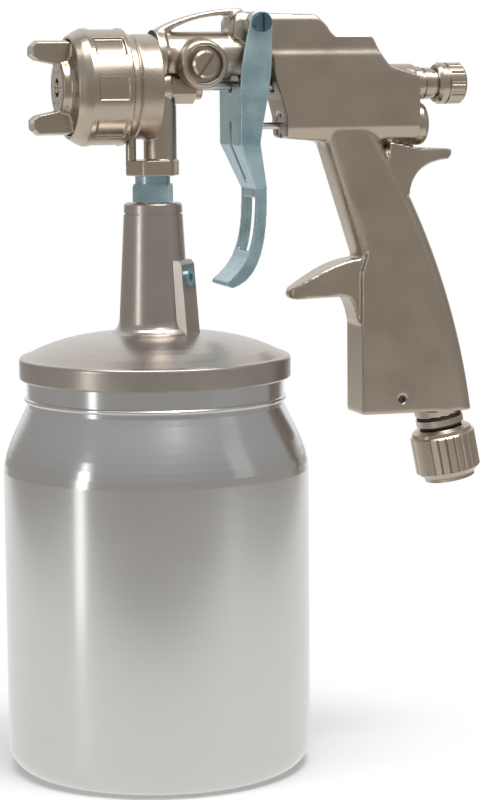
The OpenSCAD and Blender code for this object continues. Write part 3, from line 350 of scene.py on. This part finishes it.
def turned_metal(name, axis_point, axis_turn, tones, rough, depth=0.12, lines=3500.0):
    """A turned metal whose rings run round an axis through a point, turned from +Z."""
    material, tree, shader, coordinates = new_material(name, Metallic=1.0)
    link = tree.links.new
    grain = use_group(tree, grain_group, coordinates, Cloud_Scale=55.0, Grain_Scale=3000.0,
                      Tone_A=tones[0], Tone_B=tones[1], Rough_Low=rough[0], Rough_High=rough[1],
                      Grain_Depth=0.06)
    shifted = add_node(tree, "ShaderNodeMapping",
                       {"Location": axis_point, "Rotation": axis_turn}, vector_type="TEXTURE")
    link(coordinates, shifted.inputs["Vector"])
    rings = use_group(tree, lathe_group, shifted.outputs["Vector"], Scale=lines, Depth=depth)
    link(grain.outputs["Normal"], rings.inputs["Normal"])
    link(grain.outputs["Color"], shader.inputs["Base Color"])
    link(grain.outputs["Roughness"], shader.inputs["Roughness"])
    link(rings.outputs["Normal"], shader.inputs["Normal"])
    return material


# The points that the axes run through, and the turns that bring +Z onto them.
BARREL_AXIS = (0, 0, needle_z)
CUP_AXIS = (0, 0, 0)
INLET_AXIS = tuple(centre("swivel_nut"))
VALVE_AXIS = tuple(centre("valve_cap"))
SIDE_AXIS = tuple(centre("side_valve_knob"))
ALONG_X = (0, math.radians(90), 0)
ALONG_Y = (math.radians(90), 0, 0)
UPRIGHT = (0, 0, 0)
INLET_LEAN = (0, math.radians(-11), 0)


# %% [markdown]
# ## Zinc
#
# The trigger, its screw and the coupling nut are zinc plated and passivated, which leaves a
# blue-grey, slightly chalky skin with a faint mottle. A metal with a partly matt skin is made here
# by setting Metallic below one, so that the shader mixes a reflecting and a diffuse surface. The
# trigger is handled all day and shows bare metal along its edges. Its edges also carry a painted
# highlight: they are lightened in the colour.

# %% The zinc finish
ZINC = ((0.26, 0.40, 0.45, 1), (0.45, 0.60, 0.65, 1))
ZINC_SCREW = ((0.07, 0.13, 0.17, 1), (0.14, 0.23, 0.28, 1))
ZINC_EDGE_WEAR_AND_HIGHLIGHT = (0.62, 0.72, 0.76, 1)
ZINC_METALLIC = 0.78


def zinc(name, edge_wear_and_highlight, tones):
    """Zinc plate in two tones, with edges lightened if asked for, as bare worn metal and a painted
    highlight.
    """
    material, tree, shader, coordinates = new_material(name, Metallic=ZINC_METALLIC)
    link = tree.links.new
    grain = use_group(tree, grain_group, coordinates, Cloud_Scale=130.0, Grain_Scale=2400.0,
                      Tone_A=tones[0], Tone_B=tones[1], Rough_Low=0.22, Rough_High=0.34,
                      Grain_Depth=0.12)
    if edge_wear_and_highlight:
        # Lighter edges: partly bare worn zinc, partly a painted highlight along each edge.
        edges = use_group(tree, edge_group, coordinates, Breakup=0.4)
        lighter_edges = add_node(tree, "ShaderNodeMix", {"B": ZINC_EDGE_WEAR_AND_HIGHLIGHT}, data_type="RGBA")
        link(edges.outputs["Edge"], lighter_edges.inputs["Factor"])
        link(grain.outputs["Color"], lighter_edges.inputs["A"])
        link(lighter_edges.outputs["Result"], shader.inputs["Base Color"])
    else:
        link(grain.outputs["Color"], shader.inputs["Base Color"])
    link(grain.outputs["Roughness"], shader.inputs["Roughness"])
    link(grain.outputs["Normal"], shader.inputs["Normal"])
    return material


# %% [markdown]
# ## Spun aluminium
#
# The cup is spun from one disc of aluminium. The tool leaves fine rings all the way up, which
# spread every reflection up and down into a streak. The shader does that with anisotropy. It
# lengthens a highlight along the tangent, and the tangent here runs round the cup's axis, so the
# rotation of a quarter turn stands the streak upright. The rings themselves are the lathe group
# again, coarser and shallower.

# %% The cup's finish
ALUMINIUM_DARK = (0.60, 0.60, 0.60, 1)
ALUMINIUM_LIGHT = (0.64, 0.64, 0.635, 1)
QUARTER_TURN = 0.25


def spun_aluminium():
    material, tree, shader, coordinates = new_material(
        "spun_aluminium", Metallic=1.0, Anisotropic=0.6, Anisotropic_Rotation=QUARTER_TURN)
    link = tree.links.new
    grain = use_group(tree, grain_group, coordinates, Cloud_Scale=22.0, Grain_Scale=2200.0,
                      Tone_A=ALUMINIUM_DARK, Tone_B=ALUMINIUM_LIGHT, Rough_Low=0.17,
                      Rough_High=0.21, Grain_Depth=0.03)
    rings = use_group(tree, lathe_group, coordinates, Scale=1800.0, Depth=0.07)
    tangent = add_node(tree, "ShaderNodeTangent", direction_type="RADIAL", axis="Z")
    link(grain.outputs["Normal"], rings.inputs["Normal"])
    link(grain.outputs["Color"], shader.inputs["Base Color"])
    link(grain.outputs["Roughness"], shader.inputs["Roughness"])
    link(rings.outputs["Normal"], shader.inputs["Normal"])
    link(tangent.outputs["Tangent"], shader.inputs["Tangent"])
    return material


# %% [markdown]
# ## Rubber and plastic seals
#
# Seals are soft and matt. Rubber gets a fine grain and a high roughness, and the white packings a
# slightly waxy surface.

# %% The seal finishes
def seal(name, tones, rough):
    """A soft matt seal in two tones, whose roughness drifts a little below the one given."""
    material, tree, shader, coordinates = new_material(name)
    link = tree.links.new
    grain = use_group(tree, grain_group, coordinates, Cloud_Scale=200.0, Grain_Scale=3000.0,
                      Tone_A=tones[0], Tone_B=tones[1], Rough_Low=rough - 0.1, Rough_High=rough,
                      Grain_Depth=0.2)
    link(grain.outputs["Color"], shader.inputs["Base Color"])
    link(grain.outputs["Roughness"], shader.inputs["Roughness"])
    link(grain.outputs["Normal"], shader.inputs["Normal"])
    return material


# %% [markdown]
# ## One finish for each piece
#
# Every node gets a material, hidden ones too, because a pose or a lifted lid can show them. The
# turned pieces on the barrel, the upright ones and the leaning inlet differ only in their axis.

# %% Make the finishes and give them to the nodes
NICKEL = (NICKEL_DARK, NICKEL_LIGHT)
LID = ((0.45, 0.41, 0.37, 1), (0.50, 0.46, 0.42, 1))
BRIGHT = ((0.60, 0.59, 0.57, 1), (0.72, 0.71, 0.69, 1))
STEEL_DARK = ((0.10, 0.10, 0.10, 1), (0.16, 0.155, 0.15, 1))
BRASS = ((0.60, 0.44, 0.20, 1), (0.72, 0.55, 0.28, 1))
RUBBER = ((0.018, 0.018, 0.02, 1), (0.035, 0.034, 0.034, 1))
PACKING = ((0.72, 0.71, 0.68, 1), (0.82, 0.81, 0.79, 1))
SATIN = (0.20, 0.30)

finishes = {
    "nickel_casting": cast_nickel(),
    "nickel_barrel": turned_metal("nickel_barrel", BARREL_AXIS, ALONG_X, NICKEL, SATIN),
    "nickel_valve": turned_metal("nickel_valve", VALVE_AXIS, ALONG_X, NICKEL, SATIN),
    "nickel_side": turned_metal("nickel_side", SIDE_AXIS, ALONG_Y, NICKEL, SATIN),
    "nickel_inlet": turned_metal("nickel_inlet", INLET_AXIS, INLET_LEAN, NICKEL, SATIN),
    "lid_plate": turned_metal("lid_plate", CUP_AXIS, UPRIGHT, LID, (0.26, 0.34), 0.10, 2500.0),
    "bright_steel": turned_metal("bright_steel", BARREL_AXIS, ALONG_X, BRIGHT, (0.15, 0.24)),
    "dark_steel": turned_metal("dark_steel", BARREL_AXIS, ALONG_X, STEEL_DARK, (0.28, 0.38)),
    "brass": turned_metal("brass", VALVE_AXIS, ALONG_X, BRASS, SATIN),
    "zinc_sheet": zinc("zinc_sheet", True, ZINC),
    "zinc_nut": zinc("zinc_nut", False, ZINC),
    "zinc_screw": zinc("zinc_screw", False, ZINC_SCREW),
    "spun_aluminium": spun_aluminium(),
    "rubber": seal("rubber", RUBBER, 0.75),
    "white_packing": seal("white_packing", PACKING, 0.55),
}
worn_by = {
    "nickel_casting": ["gun_body", "fluid_head"],
    "nickel_barrel": ["cap_ring", "air_cap", "packing_nut", "needle_housing_bush", "fluid_knob",
                      "air_baffle", "feed_tube", "pull_collar", "fluid_nozzle"],
    "nickel_valve": ["valve_cap", "valve_gland"],
    "nickel_side": ["side_valve_bush", "side_valve_knob"],
    "nickel_inlet": ["swivel_nut", "inlet_nipple"],
    "lid_plate": ["cup_lid"],
    "bright_steel": ["fluid_needle", "needle_spring_seat", "needle_spring", "valve_spring",
                     "pickup_tube", "valve_stem"],
    "dark_steel": ["head_screws", "grip_plug"],
    "brass": ["valve_poppet", "tube_ferrule"],
    "zinc_sheet": ["trigger"],
    "zinc_nut": ["coupling_nut", "check_valve_plug"],
    "zinc_screw": ["pivot_screw", "pivot_nut"],
    "spun_aluminium": ["cup"],
    "rubber": ["head_gasket", "valve_cap_seal", "side_valve_seal", "inlet_seal_rings",
               "lid_gasket", "check_valve_disc"],
    "white_packing": ["packing_seal", "valve_seat"],
}
for finish, names in worn_by.items():
    for name in names:
        nodes[name].data.materials.clear()
        nodes[name].data.materials.append(finishes[finish])
dressed = sum(len(names) for names in worn_by.values())
print("finishes:", len(finishes), "nodes dressed:", dressed)
assert dressed == len(nodes)


# %% [markdown]
# ## Rounding the castings
#
# A real casting has no sharp edges, and the soft bright line along each edge is what makes metal
# look cast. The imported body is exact, with sharp edges, so a copy of it is merged, remeshed into
# even small cells, smoothed a little and thinned out. The smoothing rounds every edge by about the
# radius that a casting has. The copy then stands for the node, and the node stays hidden in its
# place. The pressed trigger, the ring and the air cap get the same, with smaller cells.

# %% Remesh and soften copies of the cast, pressed and bevelled pieces
MERGE_DISTANCE = 1e-6
SMOOTHING = 0.5
# For each node: its cells in millimetres, its smoothing passes, and the share of faces kept.
SOFTENING = {
    "gun_body": (0.60, 3, 0.6),
    "fluid_head": (0.30, 4, 0.45),
    "trigger": (0.30, 3, 0.7),
    "cap_ring": (0.26, 4, 0.6),
    "air_cap": (0.26, 4, 0.6),
}


def body_of(node):
    """The name of the body that a node rides on."""
    groups = frame["record"]["behaviour"]["bodies"]
    return next(body for body, members in groups.items() if node in members)


def softened(node, cell, passes, keep):
    """A copy of a node with rounded edges, which stands for it."""
    mesh = nodes[node].data.copy()
    piece = bpy.data.objects.new(node + "_soft", mesh)
    bpy.context.scene.collection.objects.link(piece)
    work = bmesh.new()
    work.from_mesh(mesh)
    bmesh.ops.remove_doubles(work, verts=work.verts, dist=MERGE_DISTANCE)
    work.to_mesh(mesh)
    work.free()
    remesh = piece.modifiers.new("cells", "REMESH")
    remesh.mode = "VOXEL"
    remesh.voxel_size = cell
    remesh.use_smooth_shade = True
    smooth = piece.modifiers.new("smooth", "SMOOTH")
    smooth.factor = SMOOTHING
    smooth.iterations = passes
    thin = piece.modifiers.new("thin", "DECIMATE")
    thin.ratio = keep
    shown = piece.evaluated_get(bpy.context.evaluated_depsgraph_get())
    piece.data = bpy.data.meshes.new_from_object(shown)
    piece.modifiers.clear()
    piece.data.name = node + "_soft"
    for polygon in piece.data.polygons:
        polygon.use_smooth = True
    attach(piece, body_of(node))
    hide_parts(node)
    piece.data.calc_loop_triangles()
    print(piece.name, "triangles:", len(piece.data.loop_triangles))


for node, (cell, passes, keep) in SOFTENING.items():
    softened(node, cell * MM, passes, keep)


# %% [markdown]
# ## The studio
#
# Metal shows its surroundings more than itself. A product photographer therefore builds a world
# for it: white paper below, a large soft light above, and a darker room behind the camera, which
# is what the flat sides of the gun show. Close to the cup the floor is real matt paper, which keeps
# the cup's shadow. Farther out the camera sees even white, so no edge of the floor is seen. Mirrors
# see a sheet of paper that ends a little in front of the cup, and the tone of the room past it.

# %% The floor
FLOOR_R = 3.0
FLOOR_SIDES = 96
PAPER_HALF_WIDTH = 0.48
PAPER_FRONT = 0.32
PAPER_EDGE = (0.94, 1.06)
PAPER_MATT = (0.94, 0.94, 0.94, 1)
PAPER_TONE = (0.94, 0.925, 0.905, 1)
ROOM_TONE = (0.40, 0.385, 0.365, 1)
SHADOW_FADE = (0.055, 0.14)


def mirror_rays(tree, rays):
    """One where a ray comes from a mirror or through glass."""
    both = add_node(tree, "ShaderNodeMath", operation="MAXIMUM")
    tree.links.new(rays.outputs["Is Glossy Ray"], both.inputs[0])
    tree.links.new(rays.outputs["Is Transmission Ray"], both.inputs[1])
    return both.outputs["Value"]


def paper_mask(tree, coordinates):
    """One past the edges of a sheet of paper that lies square to the camera."""
    link = tree.links.new
    square = add_node(tree, "ShaderNodeMapping", {"Rotation": (0, 0, -TURN)})
    link(coordinates, square.inputs["Vector"])
    split = add_node(tree, "ShaderNodeSeparateXYZ")
    link(square.outputs["Vector"], split.inputs["Vector"])
    aside = add_node(tree, "ShaderNodeMath", operation="ABSOLUTE")
    link(split.outputs["X"], aside.inputs[0])
    across = add_node(tree, "ShaderNodeMath", operation="DIVIDE")
    link(aside.outputs["Value"], across.inputs[0])
    across.inputs[1].default_value = PAPER_HALF_WIDTH
    ahead = add_node(tree, "ShaderNodeMath", operation="DIVIDE")
    link(split.outputs["Y"], ahead.inputs[0])
    ahead.inputs[1].default_value = -PAPER_FRONT
    edge = add_node(tree, "ShaderNodeMath", operation="MAXIMUM")
    link(across.outputs["Value"], edge.inputs[0])
    link(ahead.outputs["Value"], edge.inputs[1])
    past = add_node(tree, "ShaderNodeMapRange",
                    {"From Min": PAPER_EDGE[0], "From Max": PAPER_EDGE[1]},
                    interpolation_type="SMOOTHSTEP")
    link(edge.outputs["Value"], past.inputs["Value"])
    return past.outputs["Result"]


def floor_paper():
    material, tree, shader, coordinates = new_material(
        "floor_paper", Roughness=0.9, Base_Color=PAPER_MATT, Specular_IOR_Level=0.0)
    link = tree.links.new
    rays = add_node(tree, "ShaderNodeLightPath")
    mirror = mirror_rays(tree, rays)
    shown = add_node(tree, "ShaderNodeMix", {"A": PAPER_TONE, "B": ROOM_TONE}, data_type="RGBA")
    link(paper_mask(tree, coordinates), shown.inputs["Factor"])
    tone = add_node(tree, "ShaderNodeMix", {"A": WHITE}, data_type="RGBA")
    link(mirror, tone.inputs["Factor"])
    link(shown.outputs["Result"], tone.inputs["B"])
    even = add_node(tree, "ShaderNodeEmission", {"Strength": 1.0})
    link(tone.outputs["Result"], even.inputs["Color"])
    length = add_node(tree, "ShaderNodeVectorMath", operation="LENGTH")
    link(coordinates, length.inputs[0])
    fade = add_node(tree, "ShaderNodeMapRange",
                    {"From Min": SHADOW_FADE[0], "From Max": SHADOW_FADE[1]},
                    interpolation_type="SMOOTHSTEP")
    link(length.outputs["Value"], fade.inputs["Value"])
    seen = add_node(tree, "ShaderNodeMath", operation="MULTIPLY")
    link(rays.outputs["Is Camera Ray"], seen.inputs[0])
    link(fade.outputs["Result"], seen.inputs[1])
    away = add_node(tree, "ShaderNodeMath", operation="MAXIMUM")
    link(seen.outputs["Value"], away.inputs[0])
    link(mirror, away.inputs[1])
    mix = add_node(tree, "ShaderNodeMixShader")
    link(away.outputs["Value"], mix.inputs["Fac"])
    link(shader.outputs["BSDF"], mix.inputs[1])
    link(even.outputs["Emission"], mix.inputs[2])
    link(mix.outputs["Shader"], tree.nodes["Material Output"].inputs["Surface"])
    return material


def make_floor():
    mesh = bpy.data.meshes.new("floor")
    work = bmesh.new()
    bmesh.ops.create_circle(work, cap_ends=True, segments=FLOOR_SIDES, radius=FLOOR_R)
    work.to_mesh(mesh)
    work.free()
    floor = bpy.data.objects.new("floor", mesh)
    mesh.materials.append(floor_paper())
    bpy.context.scene.collection.objects.link(floor)


make_floor()


# %% [markdown]
# The camera sees white all round. Mirrors see that white behind the gun, where it leans over the
# gun a little as a backdrop does. Everywhere else they see a plain room: a warm grey wall that
# grows lighter and cooler towards the ceiling. Matt surfaces are lit evenly from all round.

# %% The room round the gun
WALL = (0.40, 0.38, 0.355, 1)
WALL_TOP = 0.05
CEILING = (0.48, 0.495, 0.52, 1)
CEILING_EDGE = 0.80
ROOM_LIGHT = 0.50
BACKDROP_LEAN = 0.5
BACKDROP_EDGE = (0.80, 0.97)


def make_world():
    world = bpy.data.worlds.new("room")
    bpy.context.scene.world = world
    world.use_nodes = True
    tree = world.node_tree
    link = tree.links.new
    tree.nodes.clear()
    out = add_node(tree, "ShaderNodeOutputWorld")
    direction = add_node(tree, "ShaderNodeTexCoord").outputs["Generated"]
    split = add_node(tree, "ShaderNodeSeparateXYZ")
    link(direction, split.inputs["Vector"])
    ramp = add_node(tree, "ShaderNodeValToRGB")
    stops = ramp.color_ramp.elements
    stops[0].position = WALL_TOP
    stops[0].color = WALL
    stops[1].position = CEILING_EDGE
    stops[1].color = CEILING
    link(split.outputs["Z"], ramp.inputs["Fac"])
    ahead = add_node(tree, "ShaderNodeVectorMath", operation="DOT_PRODUCT")
    link(direction, ahead.inputs[0])
    ahead.inputs[1].default_value = (-math.sin(TURN), math.cos(TURN), BACKDROP_LEAN)
    behind = add_node(tree, "ShaderNodeMapRange",
                      {"From Min": BACKDROP_EDGE[0], "From Max": BACKDROP_EDGE[1]},
                      interpolation_type="SMOOTHSTEP")
    link(ahead.outputs["Value"], behind.inputs["Value"])
    walls = add_node(tree, "ShaderNodeMix", {"B": WHITE}, data_type="RGBA")
    link(behind.outputs["Result"], walls.inputs["Factor"])
    link(ramp.outputs["Color"], walls.inputs["A"])
    rays = add_node(tree, "ShaderNodeLightPath")
    matt = add_node(tree, "ShaderNodeBackground", {"Color": WHITE, "Strength": ROOM_LIGHT})
    mirror = add_node(tree, "ShaderNodeBackground", {"Strength": 1.0})
    link(walls.outputs["Result"], mirror.inputs["Color"])
    white = add_node(tree, "ShaderNodeBackground", {"Color": WHITE, "Strength": 1.0})
    shiny = add_node(tree, "ShaderNodeMixShader")
    link(mirror_rays(tree, rays), shiny.inputs["Fac"])
    link(matt.outputs["Background"], shiny.inputs[1])
    link(mirror.outputs["Background"], shiny.inputs[2])
    camera = add_node(tree, "ShaderNodeMixShader")
    link(rays.outputs["Is Camera Ray"], camera.inputs["Fac"])
    link(shiny.outputs["Shader"], camera.inputs[1])
    link(white.outputs["Background"], camera.inputs[2])
    link(camera.outputs["Shader"], out.inputs["Surface"])


make_world()


# %% [markdown]
# Each lamp is a soft rectangle, and what counts is where metal mirrors it. The top softbox glows
# on the cup's shoulder and the lid, the left strip and the low card under it draw the streak down
# the cup, the fill opens the right side, and the small softbox close to the head lays a bright
# band along the ring and the barrel without reaching the cup.

# %% Soft lights
def area_light(name, turn, tilt, distance, size, power, aim=AIM):
    """A soft light seen from a point at a turn from the camera's side and a tilt, in degrees."""
    data = bpy.data.lights.new(name, "AREA")
    data.shape = "RECTANGLE"
    data.size, data.size_y = size
    data.energy = power
    lamp = bpy.data.objects.new(name, data)
    out = outwards(TURN + math.radians(turn), math.radians(tilt))
    face = (-out).to_track_quat("-Z", "Y").to_matrix().to_4x4()
    lamp.matrix_world = Matrix.Translation(aim + out * distance) @ face
    lamp.visible_camera = False
    bpy.context.scene.collection.objects.link(lamp)


HEAD = Vector((-0.02, -0.015, needle_z))
area_light("top_softbox", -30, 74, 1.1, (0.9, 0.5), 6.0)
area_light("left_strip", -54, 8, 1.15, (0.09, 0.5), 0.9)
area_light("left_low_card", -54, -11, 0.36, (0.04, 0.11), 0.011)
area_light("right_fill", 70, 20, 1.15, (0.35, 0.6), 0.12)
area_light("head_softbox", 54, 58, 0.42, (0.34, 0.18), 1.3, HEAD)
